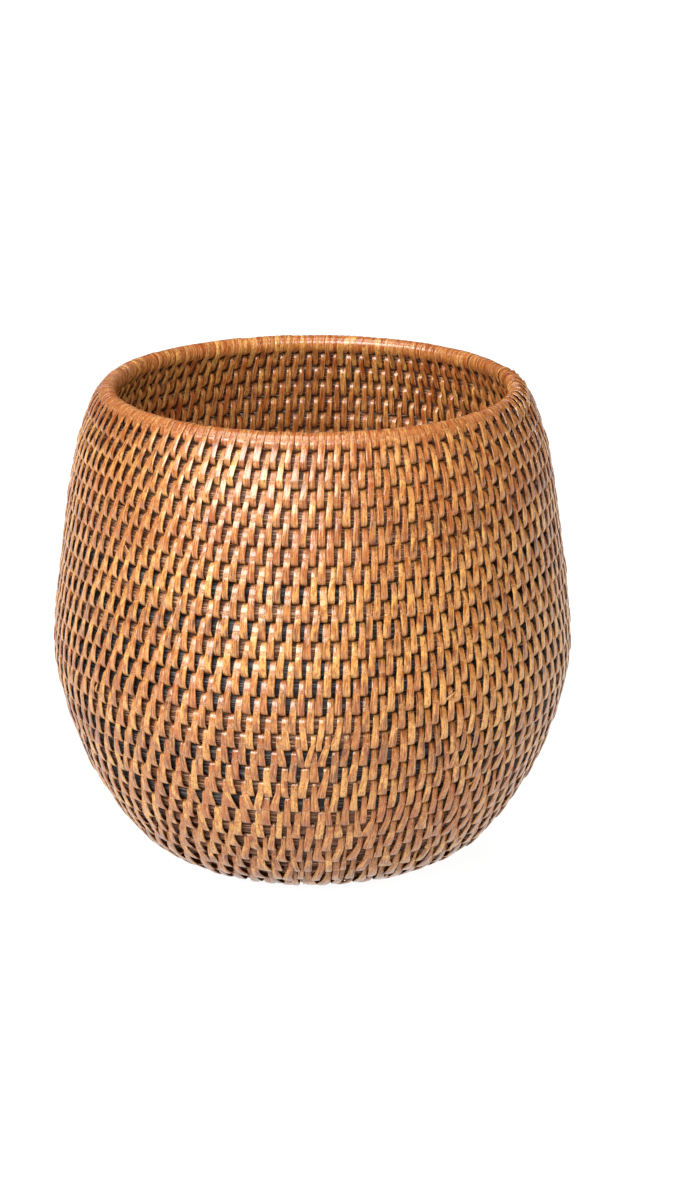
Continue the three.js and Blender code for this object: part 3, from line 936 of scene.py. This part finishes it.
# %% A few dozen of them
ENDS = 18  # places round the bowl with loose ends, besides those that are seen in front
SEEN_ENDS = [(-88.5, 9.3), (-118, 19.6), (-97, 16.4), (-60, 14.6)]  # degrees, and turns left
LEAST_PLACE, MOST_PLACE = (-75, 4), (230, 22)  # between which the others lie
TAIL = (5 * MM, 0.2 * MM, 1.1 * MM, 0.5 * MM)  # a tail's length, stand, width and thickness
FIBRE_SHORT, FIBRE_MORE, FIBRE_STAND = 3, 5, 1.2  # mm: least length, what chance adds
FIBRE_SECTION = (0.28 * MM, 0.2 * MM)
ONE_WAY = 0.7  # share of the places whose bits point on along the work
TAIL_TURN, FIBRE_TURN = (0.5, 0.5), (0.2, 1.6)  # radians from straight up: least, and by chance
MOST_TONE, END_RED = 0.7, 0.4  # the darkest tone of a bit, and the redness of all


def loose_ends():
    """At each place one tail and four fibres."""
    rng = np.random.default_rng(11)
    places = SEEN_ENDS + rng.uniform(LEAST_PLACE, MOST_PLACE, (ENDS, 2)).tolist()
    points, grain, shade, faces = [], [], [], []
    for angle, left in places:
        chance = rng.uniform(0, 1, 8)
        side = 1 if chance[0] < ONE_WAY else -1
        bits = [(side * (TAIL_TURN[0] + TAIL_TURN[1] * chance[1]), *TAIL)]
        for own in chance[2:6]:
            size = ((FIBRE_SHORT + FIBRE_MORE * own) * MM, FIBRE_STAND * chance[6] * MM)
            heading = side * (FIBRE_TURN[0] + FIBRE_TURN[1] * own)
            bits.append((heading, *size, *FIBRE_SECTION))
        for bit in bits:
            tube, place = loose_end(angle, left, *bit)
            first = len(points) * FIBRE_RINGS * FIBRE_SIDES
            faces += capped_tube(FIBRE_RINGS, FIBRE_SIDES, first)
            points.append(tube)
            grain.append(place)
            shade.append(np.broadcast_to((MOST_TONE * chance[7], END_RED, 0), tube.shape))
    points, grain, shade = np.array(points), np.array(grain), np.array(shade)
    piece = make_piece("loose_ends", points, faces, grain, shade, PEEL_FINISH)
    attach(piece, "root")
    print(len(points), "loose ends")


loose_ends()

# %% [markdown]
# ## Floor
# The bowl stands on a plain pale floor that runs on behind it and glows a little, as white paper
# does under strong lamps. Lacquer mirrors all that is pale before it, which would veil its colour.
# A paper sweep would need a form of its own, so this is one flat face whose glow is a pool of
# light, which ends in front of the picture.

# %% Floor
DIM = 0.2  # share of the glow that is left outside the pool of light
POOL_MIDDLE = (0, 0.9, 0)  # behind the bowl
POOL_EDGE = (1.3, 2.0)  # distance from its middle, over which it fades
GLOW_NEAR, GLOW_FAR = (0.1, 0.95), (0.4, 1.0)  # distance from the bowl, and the floor's glow, a little weaker near the bowl as a faint painted shadow
UNDER_BOWL = (0.03, 0.04)  # distance over which the glow begins: a painted shadow under the bowl
FLOOR_REACH = 6  # metres to each side
FLOOR_GREY = (0.07, 0.07, 0.07, 1)
WHITE = (1, 1, 1, 1)


def add_floor():
    mesh = bpy.data.meshes.new("floor")
    corners = [(x * FLOOR_REACH, y * FLOOR_REACH, 0) for x, y in ((-1, -1), (1, -1), (1, 1), (-1, 1))]
    mesh.from_pydata(corners, [], [(0, 1, 2, 3)])
    floor = bpy.data.objects.new("floor", mesh)
    bpy.context.collection.objects.link(floor)
    material, tree = new_material("pale floor")
    place = add_node(tree, "ShaderNodeTexCoord").outputs["Object"]
    away = add_node(tree, "ShaderNodeVectorMath", {0: place}, operation="LENGTH").outputs["Value"]
    glow = remap(tree, away, GLOW_NEAR[0], GLOW_FAR[0], GLOW_NEAR[1], GLOW_FAR[1])
    pool = add_node(tree, "ShaderNodeVectorMath", {0: place, 1: POOL_MIDDLE}, operation="DISTANCE")
    fade = remap(tree, pool.outputs["Value"], *POOL_EDGE, 1.0, DIM)
    for share in (fade, remap(tree, away, *UNDER_BOWL)):
        glow = add_node(tree, "ShaderNodeMath", {0: glow, 1: share}, operation="MULTIPLY").outputs[0]
    finish(tree, {
        "Base Color": FLOOR_GREY, "Roughness": 0.9, "Specular IOR Level": 0.1,
        "Emission Color": WHITE, "Emission Strength": glow,
    })
    mesh.materials.append(material)


add_floor()
print("the floor is", 2 * FLOOR_REACH, "m wide")

# %% [markdown]
# ## Light
# Plain soft studio light: a wide softbox in front at the left lights the weave and makes the long
# glints, a weaker lamp above lights the rim, a small one at the right fills the shadows and one
# behind lights the back. The last two are kept out of the mirror of the lacquer, so they make no
# glints. A picture of a studio could light the bowl too, but its glints could not be placed.

# %% Lamps
WORLD_LIGHT = 0.07
AIM = (0, 0, 0.09)  # the middle of the bowl
LAMPS = (  # name, place, width, height, watts, and whether it makes glints
    ("overhead", (-0.5, -0.5, 1.9), 1.1, 1.1, 25, True),
    ("front", (-0.85, -1.4, 0.95), 2.2, 0.85, 74, True),
    ("fill", (1.6, -0.85, 1.0), 0.8, 0.8, 23, False),
    ("rear", (-0.3, 1.7, 1.0), 1.8, 0.8, 60, False),
)


def add_world():
    world = bpy.data.worlds.new("studio")
    world.use_nodes = True
    background = world.node_tree.nodes["Background"]
    background.inputs["Color"].default_value = WHITE
    background.inputs["Strength"].default_value = WORLD_LIGHT
    bpy.context.scene.world = world


def add_lamp(name, place, wide, high, power, glints):
    data = bpy.data.lights.new(name, "AREA")
    data.shape = "RECTANGLE"
    data.size = wide
    data.size_y = high
    data.energy = power
    lamp = bpy.data.objects.new(name, data)
    lamp.location = place
    lamp.rotation_euler = (Vector(AIM) - Vector(place)).to_track_quat("-Z", "Y").to_euler()
    lamp.visible_glossy = glints
    bpy.context.collection.objects.link(lamp)


add_world()
for lamp in LAMPS:
    add_lamp(*lamp)
bpy.context.scene.view_settings.view_transform = "Standard"
print(len(LAMPS), "lamps,", sum(lamp[4] for lamp in LAMPS), "watts")

# %% [markdown]
# ## Camera
# The two edges of the rim, the belly and the lowest point agree only for a camera that looks down
# a little from less than two metres away, through a long lens. A nearer one with a wider lens
# would open the mouth too far.

# %% Camera
CAMERA_DISTANCE = 1.7
CAMERA_RISE = math.radians(16.47)
CAMERA_YAW = math.radians(0.3235)  # turns the bowl a little left of the middle
LOOK_AT = Vector((0, 0, 94.75 * MM))
LENS, SENSOR = 138.2, 36  # mm
FAR = 50  # metres, so that the whole floor is drawn


def add_camera():
    data = bpy.data.cameras.new("camera")
    data.lens = LENS
    data.sensor_width = SENSOR
    data.clip_end = FAR
    camera = bpy.data.objects.new("camera", data)
    back = Vector((0, -math.cos(CAMERA_RISE), math.sin(CAMERA_RISE)))
    camera.location = LOOK_AT + back * CAMERA_DISTANCE
    camera.rotation_euler = (math.pi / 2 - CAMERA_RISE, 0, -CAMERA_YAW)
    bpy.context.collection.objects.link(camera)
    bpy.context.scene.camera = camera
    print("the camera stands at", tuple(round(value, 3) for value in camera.location))


add_camera()
